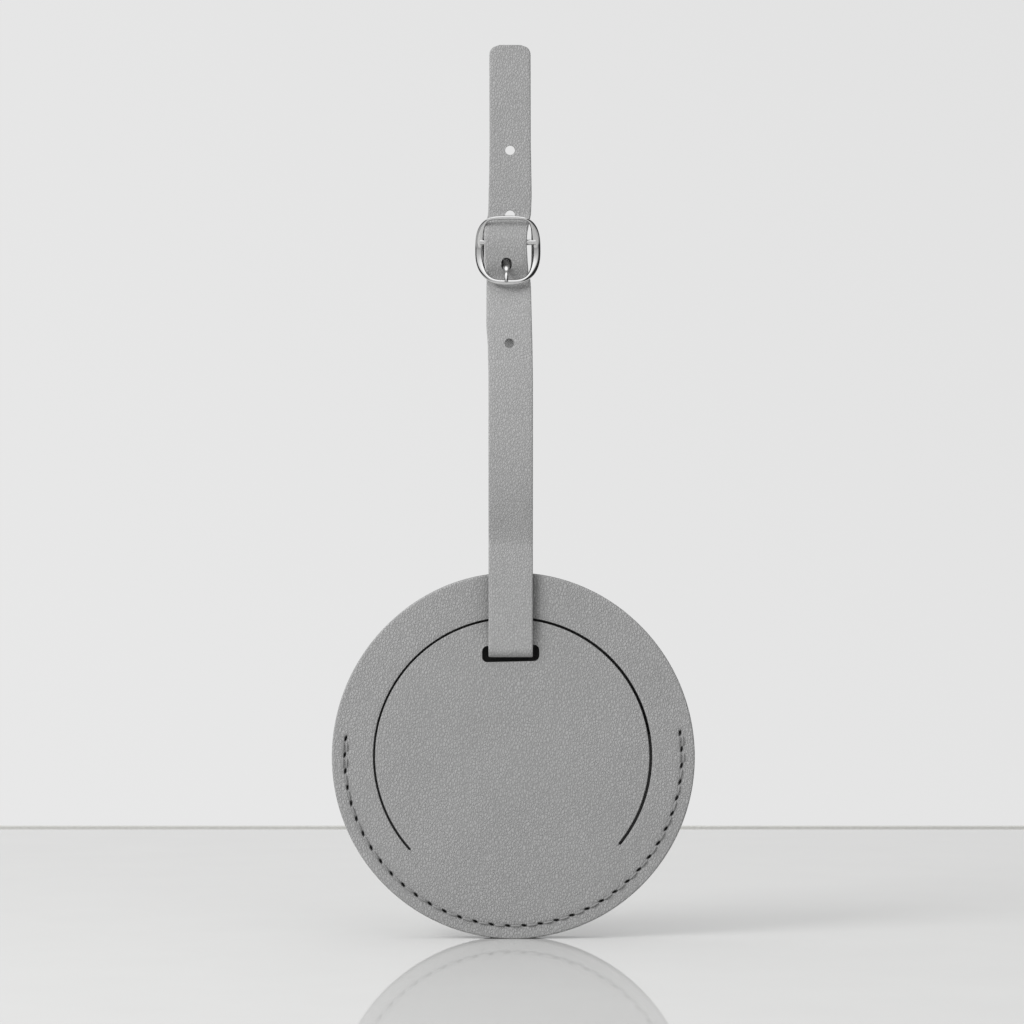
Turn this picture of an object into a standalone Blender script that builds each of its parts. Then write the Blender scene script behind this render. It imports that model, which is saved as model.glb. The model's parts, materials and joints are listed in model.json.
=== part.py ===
"""Round leather tracker tag: a stitched two-sided pocket with a slotted front flap, a strap with a
centre-bar buckle, and a slim Bluetooth tracker in the pocket. Metres, +Z up, front towards -Y, standing
on its rim."""

import math

import bmesh
import bpy
from mathutils import Matrix, Vector

# Leather holder
DISC_R = 0.0410
DISC_Z = DISC_R
LEATHER = 0.0012
SPACER = 0.0032
GLUE = 0.0001
FRONT_Y = -(SPACER / 2 + GLUE + LEATHER)
BACK_Y = -FRONT_Y
CUT_CENTRE = (-0.0002, 0.0412)
CUT_R = 0.03125
KERF = 0.0006
HINGE_Z = 0.0202
HINGE_GAP = 0.0003
SEAM_R = 0.0381
SEAM_FROM, SEAM_TO = math.radians(173.6), math.radians(368.3)
THREAD_R = 0.00025
POCKET_TOP_Z = 0.0460
CRADLE_R = 0.0213

# Strap
STRAP_X = -0.0006
STRAP_W = 0.0100
STRAP_T = 0.0012
STRAP_SIDES = (
    (0.0858, -0.00560, 0.00440), (0.1260, -0.00558, 0.00440), (0.1340, -0.00575, 0.00430),
    (0.1385, -0.00610, 0.00418), (0.1470, -0.00610, 0.00400), (0.1490, -0.00605, 0.00385),
    (0.1505, -0.00592, 0.00345), (0.1530, -0.00625, 0.00325), (0.1575, -0.00635, 0.00300),
    (0.1600, -0.00630, 0.00320),
    (0.1620, -0.00605, 0.00360), (0.1640, -0.00570, 0.00400), (0.1680, -0.00560, 0.00415),
    (0.1720, -0.00550, 0.00410), (0.1800, -0.00540, 0.00395),
)
TAIL_SIDES = (-0.00545, 0.00390)
TIP_Z = 0.2022
TIP_R = 0.0022
FLAP_SLOT = (0.0129, 0.0626, 0.0663, 0.0012)
BACK_SLOT = (0.0106, 0.0633, 0.0663, 0.0004)
RUN_Y = 0.0038
RUN_Z = 0.0642
BEND_R = 0.0012
RUN_TOP_Z = 0.0820
LOOP_Z = 0.0868
JOIN_GAP = 0.0001
HOLE_R, ENGAGED_R = 0.0011, 0.0012
HOLES = ((-0.0009, 0.1344), (-0.00075, 0.1637), (-0.00075, 0.1784))
ENGAGED_X = -0.00155
ENGAGED_Z = (0.1510, 0.1539)
TAB_Z = (0.1356, 0.1512)
TAB_STEP = 0.00134
TAB_SEAM_Z = (0.1376, 0.1500)
TAB_SEAM_X = 0.0034
NOTCH_W = 0.0027
NOTCH_Z = (0.1528, 0.1620)
OUTLINE_DEPTH = 0.012

# Buckle: half width, half height and squareness of its outlines, for its upper and lower halves
BUCKLE_X = -0.00125
PRONG_X = -0.0016
BAR_Y, BAR_Z, BAR_R = 0.0009, 0.1576, 0.0007
FRAME_Z = 0.1555
FRAME_INSIDE = ((0.00535, 0.00690, 6.0), (0.00535, 0.00660, 3.4))
FRAME_OUTSIDE = ((0.00742, 0.00785, 3.1), (0.00742, 0.00790, 2.35))
FRAME_DOME, DOME_HEIGHT, DOME_POWER = 0.0040, 0.00735, 1.6
FRAME_DEPTH = 0.0011
BAR_HALF = 0.0063
PRONG_R = 0.0005
EYE_R = 0.00135
FOLD_R = 0.0014

# Tracker
TRACKER_R = 0.0210
TRACKER_HALF = 0.0016
SHELL = 0.0005
SIDE = 0.0010
SPLIT_Y = 0.0
CELL_Z = 0.0340
CELL_R, CELL_T = 0.0100, 0.0016
DOOR_R = 0.0110
LUG_R = 0.0122
BOARD_Y = (0.0002, 0.0008)
BOARD_R = 0.0196
BUTTON = (0.0, 0.0500)
BUTTON_R, STEM_R = 0.0030, 0.0012
PIPE = (0.0068, 0.0552)
PIPE_R = 0.0008
BUZZER = (0.0105, 0.0475)
BUZZER_R = 0.0045
SOUND_HOLE_R, SOUND_RING_R = 0.0004, 0.0015
SCREW_RING_R = 0.0172
SCREW_ANGLES = (15, 90, 165)
SCREW_R, SCREW_HEAD_R, BOSS_R = 0.0004, 0.0009, 0.0012
CLEAR = 0.00015
GAP = 0.00005

# Parts on the board: left and right, bottom and top, height above the board
CONTACT = ((-0.0012, 0.0012), (0.0300, 0.0465))
ON_BOARD = {
    "radio_shield": ("steel", (-0.0135, -0.0065), (0.0465, 0.0535), 0.0010),
    "chip_antenna": ("ceramic", (-0.0085, -0.0035), (0.0556, 0.0574), 0.0008),
    "crystal": ("steel", (-0.0052, -0.0037), (0.0500, 0.0520), 0.0007),
    "status_led": ("ceramic", (0.0060, 0.0076), (0.0547, 0.0557), 0.0004),
    "tact_switch": ("steel", (-0.0018, 0.0018), (0.0482, 0.0518), 0.0006),
}

STEPS_BIG, STEPS_SMALL = 96, 24


# Scene, collections and materials

def clear_scene():
    for old in list(bpy.data.objects):
        bpy.data.objects.remove(old, do_unlink=True)


def new_collection(name):
    made = bpy.data.collections.new(name)
    bpy.context.scene.collection.children.link(made)
    return made


def principled(name, colour, roughness, metallic=0.0):
    made = bpy.data.materials.new(name)
    made.use_nodes = True
    shader = made.node_tree.nodes["Principled BSDF"]
    shader.inputs["Base Color"].default_value = (*colour, 1.0)
    shader.inputs["Roughness"].default_value = roughness
    shader.inputs["Metallic"].default_value = metallic
    made.diffuse_color = (*colour, 1.0)
    return made


FINISHES = {
    "leather": ((0.31, 0.31, 0.31), 0.6, 0.0),
    "lining": ((0.20, 0.20, 0.20), 0.9, 0.0),
    "thread": ((0.27, 0.27, 0.27), 0.8, 0.0),
    "chrome": ((0.75, 0.75, 0.75), 0.1, 1.0),
    "shell": ((0.80, 0.80, 0.80), 0.4, 0.0),
    "steel": ((0.55, 0.55, 0.53), 0.3, 1.0),
    "rubber": ((0.03, 0.03, 0.03), 0.8, 0.0),
    "board": ((0.02, 0.12, 0.05), 0.5, 0.0),
    "ceramic": ((0.75, 0.68, 0.55), 0.5, 0.0),
    "brass": ((0.70, 0.50, 0.22), 0.3, 1.0),
    "lens": ((0.85, 0.85, 0.85), 0.2, 0.0),
}


def finish(piece, look):
    """Gives a piece its name, its place in the model's collection and a material of its own."""
    piece.data.materials.clear()
    piece.data.materials.append(principled(f"{piece.name}_{look}", *FINISHES[look]))
    parts.objects.link(piece)
    return piece


def as_cutter(piece):
    piece.hide_render = True
    piece.display_type = "WIRE"
    cutters.objects.link(piece)
    return piece


# Outlines, as lists of 2D points

def arc(centre, radius, start, end, steps):
    angles = [start + (end - start) * i / steps for i in range(steps + 1)]
    return [(centre[0] + radius * math.cos(a), centre[1] + radius * math.sin(a)) for a in angles]


def circle(centre, radius, steps=STEPS_SMALL):
    return arc(centre, radius, 0, 2 * math.pi, steps)[:-1]


def rounded_box(centre, width, height, radius, steps=5):
    points = []
    for i, (sx, sz) in enumerate(((1, 1), (-1, 1), (-1, -1), (1, -1))):
        corner = (centre[0] + sx * (width / 2 - radius), centre[1] + sz * (height / 2 - radius))
        points += arc(corner, radius, i * math.pi / 2, (i + 1) * math.pi / 2, steps)
    return points


def segment_above(centre, radius, chord_z, steps):
    """The part of a circle above a level line."""
    start = math.asin((chord_z - centre[1]) / radius)
    return arc(centre, radius, start, math.pi - start, steps)


def smooth(points, steps=6):
    """A centripetal Catmull-Rom curve through the points."""
    ends = [[2 * a - b for a, b in zip(points[i], points[j])] for i, j in ((0, 1), (-1, -2))]
    route = [Vector(p) for p in (ends[0], *points, ends[1])]
    made = []
    for p0, p1, p2, p3 in zip(route, route[1:], route[2:], route[3:]):
        t1 = math.sqrt((p1 - p0).length)
        t2 = t1 + math.sqrt((p2 - p1).length)
        t3 = t2 + math.sqrt((p3 - p2).length)
        for i in range(steps):
            t = t1 + (t2 - t1) * i / steps
            a1 = p0 * ((t1 - t) / t1) + p1 * (t / t1)
            a2 = p1 * ((t2 - t) / (t2 - t1)) + p2 * ((t - t1) / (t2 - t1))
            a3 = p2 * ((t3 - t) / (t3 - t2)) + p3 * ((t - t2) / (t3 - t2))
            b1 = a1 * ((t2 - t) / t2) + a2 * (t / t2)
            b2 = a2 * ((t3 - t) / (t3 - t1)) + a3 * ((t - t1) / (t3 - t1))
            made.append(tuple(b1 * ((t2 - t) / (t2 - t1)) + b2 * ((t - t1) / (t2 - t1))))
    return [*made, tuple(points[-1])]


def shifted(route, offset):
    """The route moved sideways, to its left for a positive offset."""
    made = []
    for i, point in enumerate(route):
        before, after = route[max(i - 1, 0)], route[min(i + 1, len(route) - 1)]
        along = (Vector(after) - Vector(before)).normalized()
        made.append((point[0] - along[1] * offset, point[1] + along[0] * offset))
    return made


def band(route, thickness):
    """The closed outline of a strip of even thickness along a route."""
    return shifted(route, thickness / 2) + shifted(route, -thickness / 2)[::-1]


# Solids

FACING_FRONT = Matrix.Rotation(math.pi / 2, 4, "X")
FACING_SIDE = Matrix(((0, 0, 1, 0), (1, 0, 0, 0), (0, 1, 0, 0), (0, 0, 0, 1)))


def slab(name, loops, thickness, turn, place):
    """A flat plate of an outline and its holes, as a filled 2D curve."""
    curve = bpy.data.curves.new(name, "CURVE")
    curve.dimensions = "2D"
    curve.fill_mode = "BOTH"
    curve.extrude = thickness / 2
    for loop in loops:
        spline = curve.splines.new("POLY")
        spline.points.add(len(loop) - 1)
        for point, (x, y) in zip(spline.points, loop):
            point.co = (x, y, 0, 1)
        spline.use_cyclic_u = True
    piece = bpy.data.objects.new(name, curve)
    piece.matrix_world = Matrix.Translation(place) @ turn
    return piece


def plate(name, loops, y_from, y_to):
    """A plate whose outline is seen from the front, as (x, z)."""
    return slab(name, loops, abs(y_to - y_from), FACING_FRONT, (0, (y_from + y_to) / 2, 0))


def strip(name, outline, x, width):
    """A plate whose outline is seen from the side, as (y, z)."""
    return slab(name, [outline], width, FACING_SIDE, (x, 0, 0))


def tube(name, points, radius, closed=False, sides=2):
    curve = bpy.data.curves.new(name, "CURVE")
    curve.dimensions = "3D"
    curve.bevel_depth = radius
    curve.bevel_resolution = sides
    curve.use_fill_caps = True
    spline = curve.splines.new("POLY")
    spline.points.add(len(points) - 1)
    for point, at in zip(spline.points, points):
        point.co = (*at, 1)
    spline.use_cyclic_u = closed
    return bpy.data.objects.new(name, curve)


def as_mesh(piece):
    """The same piece as a welded mesh, so that it can be cut."""
    name, place = piece.name, piece.matrix_world.copy()
    bpy.context.scene.collection.objects.link(piece)
    bpy.context.view_layer.update()
    mesh = bpy.data.meshes.new_from_object(piece.evaluated_get(bpy.context.evaluated_depsgraph_get()))
    bpy.data.objects.remove(piece, do_unlink=True)
    shape = bmesh.new()
    shape.from_mesh(mesh)
    bmesh.ops.remove_doubles(shape, verts=shape.verts, dist=1e-6)
    bmesh.ops.recalc_face_normals(shape, faces=shape.faces)
    shape.to_mesh(mesh)
    shape.free()
    made = bpy.data.objects.new(name, mesh)
    made.matrix_world = place
    return made


def rod(name, x, z, radius, y_from, y_to, steps=STEPS_SMALL):
    """A round rod along Y."""
    mesh = bpy.data.meshes.new(name)
    shape = bmesh.new()
    bmesh.ops.create_cone(shape, cap_ends=True, segments=steps, radius1=radius, radius2=radius,
                          depth=abs(y_to - y_from))
    shape.to_mesh(mesh)
    shape.free()
    piece = bpy.data.objects.new(name, mesh)
    piece.matrix_world = Matrix.Translation((x, (y_from + y_to) / 2, z)) @ FACING_FRONT
    return piece


def block(name, low, high):
    mesh = bpy.data.meshes.new(name)
    shape = bmesh.new()
    bmesh.ops.create_cube(shape, size=1.0)
    bmesh.ops.scale(shape, vec=[b - a for a, b in zip(low, high)], verts=shape.verts)
    shape.to_mesh(mesh)
    shape.free()
    piece = bpy.data.objects.new(name, mesh)
    piece.location = [(a + b) / 2 for a, b in zip(low, high)]
    return piece


def turned(name, profile, x, z, steps=48):
    """A solid turned about a line along Y, from (radius, y) points that run from front to back."""
    mesh = bpy.data.meshes.new(name)
    shape = bmesh.new()
    corners = [shape.verts.new((radius, 0, -y)) for radius, y in profile]
    for a, b in zip(corners, corners[1:]):
        shape.edges.new((a, b))
    if profile[0][0] > 0:
        shape.edges.new((corners[-1], corners[0]))
    shape.to_mesh(mesh)
    shape.free()
    piece = bpy.data.objects.new(name, mesh)
    piece.matrix_world = Matrix.Translation((x, 0, z)) @ FACING_FRONT
    screw = piece.modifiers.new("turn", "SCREW")
    screw.steps = screw.render_steps = steps
    screw.use_merge_vertices = True
    screw.merge_threshold = 0.00001
    return piece


def combine(piece, other, operation):
    as_cutter(other)
    change = piece.modifiers.new(other.name, "BOOLEAN")
    change.operation = operation
    change.solver = "EXACT"
    change.object = other
    return piece


# Leather holder

def slot_outline(width, low_z, high_z, corner):
    return rounded_box((STRAP_X, (low_z + high_z) / 2), width, high_z - low_z, corner)


def leather_discs():
    centre = (0, DISC_Z)
    inner_y = SPACER / 2 + GLUE
    outside = circle(centre, DISC_R, STEPS_BIG)
    window = segment_above(CUT_CENTRE, CUT_R + KERF / 2, HINGE_Z - HINGE_GAP / 2, 72)
    cover = segment_above(CUT_CENTRE, CUT_R - KERF / 2, HINGE_Z + HINGE_GAP / 2, 72)
    finish(plate("front_panel", [outside, window], FRONT_Y, -inner_y), "leather")
    finish(plate("back_panel", [outside, slot_outline(*BACK_SLOT)], inner_y, BACK_Y), "leather")
    flap = plate("flap", [cover, slot_outline(*FLAP_SLOT)], FRONT_Y, -inner_y)
    hang_on(flap, "flap_fold_axis", (0, FRONT_Y, HINGE_Z))
    finish(flap, "leather")


def spacer():
    """The U of stiff lining that the leathers are sewn to. The tracker rests in its hollow."""
    centre = (0, DISC_Z)
    top = math.asin((POCKET_TOP_Z - DISC_Z) / DISC_R)
    outside = arc(centre, DISC_R, math.pi - top, 2 * math.pi + top, 56)
    cradle = arc(centre, CRADLE_R, 2 * math.pi, math.pi, 32)
    outline = [*outside, (CRADLE_R, POCKET_TOP_Z), *cradle, (-CRADLE_R, POCKET_TOP_Z)]
    finish(plate("pocket_spacer", [outline], -SPACER / 2, SPACER / 2), "lining")


def seam(name, y):
    turns = arc((0, DISC_Z), SEAM_R, SEAM_FROM, SEAM_TO, 48)
    finish(tube(name, [(x, y, z) for x, z in turns], THREAD_R, sides=1), "thread")


def holder():
    leather_discs()
    spacer()
    proud = THREAD_R + GLUE / 2
    seam("seam_thread_front", FRONT_Y - proud)
    seam("seam_thread_back", BACK_Y + proud)


# Strap

def run_route():
    """Down the front, through the slots and up the back."""
    front = arc((-RUN_Y + BEND_R, RUN_Z + BEND_R), BEND_R, math.pi, 1.5 * math.pi, 6)
    back = arc((RUN_Y - BEND_R, RUN_Z + BEND_R), BEND_R, 1.5 * math.pi, 2 * math.pi, 6)
    return [(-RUN_Y, RUN_TOP_Z), *front, *back, (RUN_Y, RUN_TOP_Z)]


def front_route():
    """Up from the holder in a bow, behind the lower bar, over the centre bar, behind the top bar."""
    bow = [(-RUN_Y, LOOP_Z), (-RUN_Y, 0.0898), (-0.0066, 0.1010), (-0.0075, 0.1130), (-0.0063, 0.1260),
           (-0.0036, 0.1380), (-0.0010, 0.1455)]
    over_buckle = [(0.0001, 0.1483), (0.0001, 0.1501), (-0.0012, 0.1530), (-0.00195, BAR_Z),
                   (-0.0015, 0.1600), (-0.0004, 0.1620), (0.0002, 0.1636), (0.0003, 0.1650)]
    return smooth([*bow, *over_buckle, (0.0003, 0.1700), (0.0003, 0.1860), (0.0003, TIP_Z + 0.001)])


def back_leg_route():
    return smooth([(RUN_Y, LOOP_Z), (RUN_Y, 0.0898), (0.0066, 0.1010), (0.0075, 0.1130), (0.0064, 0.1260),
                   (0.0046, 0.1380), (0.0033, 0.1460), (0.00275, 0.1510), (0.0024, 0.1555)])


def tab_route():
    """The folded end, against the inside of the back leg, from its top to its end."""
    leg = [p for p in back_leg_route() if TAB_Z[0] < p[1] < TAB_Z[1]]
    return shifted(leg, TAB_STEP)[::-1]


def folded_route():
    """The back leg, its fold over the centre bar and its tab."""
    fold = arc((BAR_Y, BAR_Z), FOLD_R, 0, math.pi, 10)
    turn_back = smooth([fold[-1], (-0.00035, 0.1564), (0.0006, 0.1539), tab_route()[0]], 4)[1:-1]
    return [*back_leg_route(), *fold, *turn_back, *tab_route()]


def strap_face(name, top_z, cut_holes):
    """The strap seen from the front, up to a level. It draws in through the buckle and to its tip."""
    rows = [row for row in STRAP_SIDES if row[0] < top_z]
    if top_z > TIP_Z:
        left_x, right_x = TAIL_SIDES
        end = (arc((right_x - TIP_R, TIP_Z - TIP_R), TIP_R, 0, math.pi / 2, 6)
               + arc((left_x + TIP_R, TIP_Z - TIP_R), TIP_R, math.pi / 2, math.pi, 6))
    else:
        end = [(rows[-1][2], top_z), (rows[-1][1], top_z)]
    outline = [(right, z) for z, left, right in rows] + end + [(left, z) for z, left, right in rows[::-1]]
    holes = []
    if cut_holes:
        holes = [circle((x, z), HOLE_R, 16) for x, z in HOLES]
        low_z, high_z = ENGAGED_Z[0] + ENGAGED_R, ENGAGED_Z[1] - ENGAGED_R
        holes.append(arc((ENGAGED_X, high_z), ENGAGED_R, 0, math.pi, 8)
                     + arc((ENGAGED_X, low_z), ENGAGED_R, math.pi, 2 * math.pi, 8))
    return as_mesh(plate(name, [outline, *holes], -OUTLINE_DEPTH, OUTLINE_DEPTH))


def strap():
    finish(strip("strap_slot_run", band(run_route(), STRAP_T), STRAP_X, STRAP_W), "leather")
    for side, name in ((-1, "strap_bend_front"), (1, "strap_bend_back")):
        ends = [(side * RUN_Y, RUN_TOP_Z + JOIN_GAP), (side * RUN_Y, LOOP_Z - JOIN_GAP)]
        finish(strip(name, band(ends, STRAP_T), STRAP_X, STRAP_W), "leather")
    front = as_mesh(strip("strap_front_leg", band(front_route(), STRAP_T), STRAP_X, 2 * STRAP_W))
    combine(front, strap_face("front_leg_outline", 2 * TIP_Z, True), "INTERSECT")
    back = as_mesh(strip("strap_back_leg", band(folded_route(), STRAP_T), STRAP_X, 2 * STRAP_W))
    combine(back, strap_face("back_leg_outline", BAR_Z + 2 * FOLD_R, False), "INTERSECT")
    notch = block("prong_notch", (PRONG_X - NOTCH_W / 2, -OUTLINE_DEPTH, NOTCH_Z[0]),
                  (PRONG_X + NOTCH_W / 2, OUTLINE_DEPTH, NOTCH_Z[1]))
    combine(back, notch, "DIFFERENCE")
    for piece in (front, back):
        hang_on(piece, "strap_swing_axis", (0, 0, LOOP_Z))
        finish(piece, "leather")


def tab_stitches():
    """Two rows through the tab, seen on the back of the strap."""
    leg = [p for p in back_leg_route() if TAB_SEAM_Z[0] < p[1] < TAB_SEAM_Z[1]]
    row = shifted(leg, -(STRAP_T / 2 + THREAD_R + GLUE / 2))
    for side, name in ((-1, "tab_stitch_left"), (1, "tab_stitch_right")):
        x = STRAP_X + side * TAB_SEAM_X
        piece = tube(name, [(x, y, z) for y, z in row], THREAD_R, sides=1)
        hang_on(piece, "strap_swing_axis", (0, 0, LOOP_Z))
        finish(piece, "thread")


# Buckle

def frame_y(height):
    """The frame is domed, so its top and bottom bars stand in front of its sides."""
    at_bar = ((BAR_Z - FRAME_Z) / DOME_HEIGHT) ** DOME_POWER
    return BAR_Y - FRAME_DOME * ((abs(height) / DOME_HEIGHT) ** DOME_POWER - at_bar)


def reach(outline, turn):
    """How far a rounded outline is from the frame's middle, in one direction."""
    half_width, half_height, squareness = outline[0 if math.sin(turn) > 0 else 1]
    across, up = abs(math.cos(turn) / half_width), abs(math.sin(turn) / half_height)
    return (across**squareness + up**squareness) ** (-1 / squareness)


def frame_ring(name, steps=48, sides=8):
    """The frame, broad at its sides and slim at its top bar, from rounded sections all the way round."""
    mesh = bpy.data.meshes.new(name)
    shape = bmesh.new()
    rings = []
    for i in range(steps):
        turn = 2 * math.pi * (i + 0.5) / steps
        inside, outside = reach(FRAME_INSIDE, turn), reach(FRAME_OUTSIDE, turn)
        middle, half = (outside + inside) / 2, (outside - inside) / 2
        ring = []
        for across, deep in circle((0, 0), 1.0, sides):
            away = middle + half * across
            height = away * math.sin(turn)
            y = frame_y(middle * math.sin(turn)) + FRAME_DEPTH / 2 * deep
            ring.append(shape.verts.new((BUCKLE_X + away * math.cos(turn), y, FRAME_Z + height)))
        rings.append(ring)
    for a, b in zip(rings, rings[1:] + rings[:1]):
        for j in range(sides):
            shape.faces.new((a[j], a[j - 1], b[j - 1], b[j]))
    bmesh.ops.recalc_face_normals(shape, faces=shape.faces)
    shape.to_mesh(mesh)
    shape.free()
    return bpy.data.objects.new(name, mesh)


def buckle_frame():
    frame = frame_ring("buckle_frame")
    ends = [(BUCKLE_X - BAR_HALF, BAR_Y, BAR_Z), (BUCKLE_X + BAR_HALF, BAR_Y, BAR_Z)]
    combine(frame, as_mesh(tube("centre_bar", ends, BAR_R)), "UNION")
    hang_on(frame, "buckle_axis", (0, BAR_Y, BAR_Z))
    finish(frame, "chrome")


def buckle_prong():
    """The prong's eye wraps the centre bar, and its tip rests on the lower bar."""
    eye = arc((BAR_Y, BAR_Z), EYE_R, math.radians(-70), math.radians(200), 12)
    shaft = smooth([eye[-1], (-0.0001, 0.1560), (0.00005, 0.1549), (-0.00015, 0.1538), (-0.0010, 0.1523),
                    (-0.0022, 0.1509), (-0.0033, 0.1497), (-0.0039, 0.1484)], 3)[1:]
    prong = tube("buckle_prong", [(PRONG_X, y, z) for y, z in [*eye, *shaft]], PRONG_R)
    hang_on(prong, "buckle_axis", (0, BAR_Y, BAR_Z))
    finish(prong, "chrome")


# Tracker

def tracker_shells():
    outer, inner, chamfer = TRACKER_R, TRACKER_R - SIDE, 0.0005
    front = [(0, -TRACKER_HALF), (outer - chamfer, -TRACKER_HALF), (outer, -TRACKER_HALF + chamfer),
             (outer, SPLIT_Y), (inner, SPLIT_Y), (inner, -TRACKER_HALF + SHELL), (0, -TRACKER_HALF + SHELL)]
    rear = [(0, TRACKER_HALF - SHELL), (inner, TRACKER_HALF - SHELL), (inner, SPLIT_Y + GLUE),
            (outer, SPLIT_Y + GLUE), (outer, TRACKER_HALF - chamfer), (outer - chamfer, TRACKER_HALF),
            (0, TRACKER_HALF)]
    shell = turned("tracker_front_shell", front, 0, DISC_Z)
    inside_y = -TRACKER_HALF + SHELL
    for i, (x, z) in enumerate(screw_places()):
        combine(shell, rod(f"boss_{i}", x, z, BOSS_R, inside_y - SHELL / 2, BOARD_Y[0] - GLUE), "UNION")
        combine(shell, rod(f"boss_hole_{i}", x, z, 0.0005, inside_y + GLUE, 0.001, 12), "DIFFERENCE")
    combine(shell, rod("button_hole", *BUTTON, BUTTON_R + CLEAR, -0.003, inside_y + SHELL), "DIFFERENCE")
    combine(shell, rod("pipe_hole", *PIPE, PIPE_R + CLEAR, -0.003, inside_y + SHELL), "DIFFERENCE")
    for i in range(5):
        turn = 2 * math.pi * i / 5
        place = (BUZZER[0] + SOUND_RING_R * math.cos(turn), BUZZER[1] + SOUND_RING_R * math.sin(turn))
        hole = rod(f"sound_hole_{i}", *place, SOUND_HOLE_R, -0.003, inside_y + GLUE, 10)
        combine(shell, hole, "DIFFERENCE")
    finish(shell, "shell")
    cover = turned("tracker_rear_shell", rear, 0, DISC_Z)
    combine(cover, rod("door_opening", 0, CELL_Z, DOOR_R + CLEAR, 0.0005, 0.003, 48), "DIFFERENCE")
    finish(cover, "shell")


def screw_places():
    angles = [math.radians(a) for a in SCREW_ANGLES]
    return [(SCREW_RING_R * math.cos(a), DISC_Z + SCREW_RING_R * math.sin(a)) for a in angles]


def battery_door():
    """A round cover with a groove for its seal and three bayonet lugs."""
    inside, outside = TRACKER_HALF - SHELL, TRACKER_HALF
    groove_r, groove = DOOR_R - 0.0005, (inside + 0.0001, inside + 0.0003)
    profile = [(0, inside), (groove_r, inside), (groove_r, groove[1]), (DOOR_R, groove[1]),
               (DOOR_R, outside), (0, outside)]
    door = turned("battery_door", profile, 0, CELL_Z)
    for i in range(3):
        middle, half = math.radians(30 + 120 * i), math.radians(12)
        for part, (r_in, r_out, y_from, y_to) in enumerate((
            (CELL_R + 0.0002, LUG_R, inside - 0.00025, inside - 0.00005),
            (CELL_R + 0.0002, groove_r - 0.00005, inside - 0.0002, inside + 0.0001),
        )):
            outline = (arc((0, CELL_Z), r_out, middle - half, middle + half, 6)
                       + arc((0, CELL_Z), r_in, middle + half, middle - half, 6))
            combine(door, as_mesh(plate(f"lug_{i}_{part}", [outline], y_from, y_to)), "UNION")
    combine(door, block("coin_groove", (-0.0050, outside - 0.00025, CELL_Z - 0.0007),
                        (0.0050, outside + 0.001, CELL_Z + 0.0007)), "DIFFERENCE")
    hang_on(door, "battery_door_axis", (0, TRACKER_HALF, CELL_Z))
    finish(door, "shell")
    seal = [circle((0, CELL_Z), DOOR_R + CLEAR - GLUE, 48), circle((0, CELL_Z), groove_r + 0.00005, 48)]
    finish(plate("door_seal", seal, inside + 0.00005, groove[1] - 0.00005), "rubber")


def across(name, across_x, across_z, y_from, y_to):
    return block(name, (across_x[0], y_from, across_z[0]), (across_x[1], y_to, across_z[1]))


def electronics():
    front_y, rear_y = BOARD_Y
    inside = TRACKER_HALF - SHELL
    board = [circle((0, DISC_Z), BOARD_R, 64), circle((0, CELL_Z), CELL_R + 0.0008, 48)]
    board += [circle(place, 0.0005, 12) for place in screw_places()]
    finish(plate("circuit_board", board, front_y, rear_y), "board")
    finish(rod("coin_cell", 0, CELL_Z, CELL_R, -CELL_T / 2, CELL_T / 2, 48), "steel")
    finish(across("contact_minus", *CONTACT, -inside + GAP, -inside + 4 * GAP), "brass")
    finish(across("contact_plus", *CONTACT, inside - 5 * GAP, inside - GAP), "brass")
    for name, (look, across_x, across_z, height) in ON_BOARD.items():
        finish(across(name, across_x, across_z, front_y - height, front_y - GAP), look)
    finish(rod("piezo_buzzer", *BUZZER, BUZZER_R, -inside + GAP, -inside + 0.0005), "brass")
    finish(rod("light_pipe", *PIPE, PIPE_R, -TRACKER_HALF, front_y - 0.0005, 16), "lens")
    for i, place in enumerate(screw_places()):
        profile = [(0, front_y - 0.0009), (SCREW_R, front_y - 0.0009), (SCREW_R, rear_y + GAP),
                   (SCREW_HEAD_R, rear_y + GAP), (SCREW_HEAD_R, rear_y + 5 * GAP), (0, rear_y + 5 * GAP)]
        finish(turned(f"board_screw_{i + 1}", profile, *place, 12), "steel")


def push_button():
    inside_y = -TRACKER_HALF + SHELL + GLUE
    stem_y = BOARD_Y[0] - 0.0009
    profile = [(0, -TRACKER_HALF), (BUTTON_R, -TRACKER_HALF), (BUTTON_R, inside_y), (STEM_R, inside_y),
               (STEM_R, stem_y), (0, stem_y)]
    cap = turned("push_button", profile, *BUTTON, 32)
    hang_on(cap, "button_axis", (BUTTON[0], -TRACKER_HALF, BUTTON[1]))
    finish(cap, "shell")


def hang_on(piece, axis_name, place):
    """Parents a moving piece to an empty on its joint's axis."""
    axis = bpy.data.objects.get(axis_name)
    if axis is None:
        axis = bpy.data.objects.new(axis_name, None)
        axis.empty_display_size = 0.005
        axis.location = place
        parts.objects.link(axis)
    piece.parent = axis
    piece.matrix_parent_inverse = Matrix.Translation(-Vector(place))


def round_shading():
    for piece in parts.objects:
        if piece.type == "MESH":
            piece.data.shade_smooth()
            piece.data.set_sharp_from_angle(angle=math.radians(35))


clear_scene()
parts = new_collection("tracker_tag")
cutters = new_collection("cutters")
holder()
strap()
tab_stitches()
buckle_frame()
buckle_prong()
tracker_shells()
battery_door()
electronics()
push_button()
round_shading()
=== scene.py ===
import json
import math

import bmesh
import bpy
import numpy as np
from mathutils import Matrix, Vector

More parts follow.
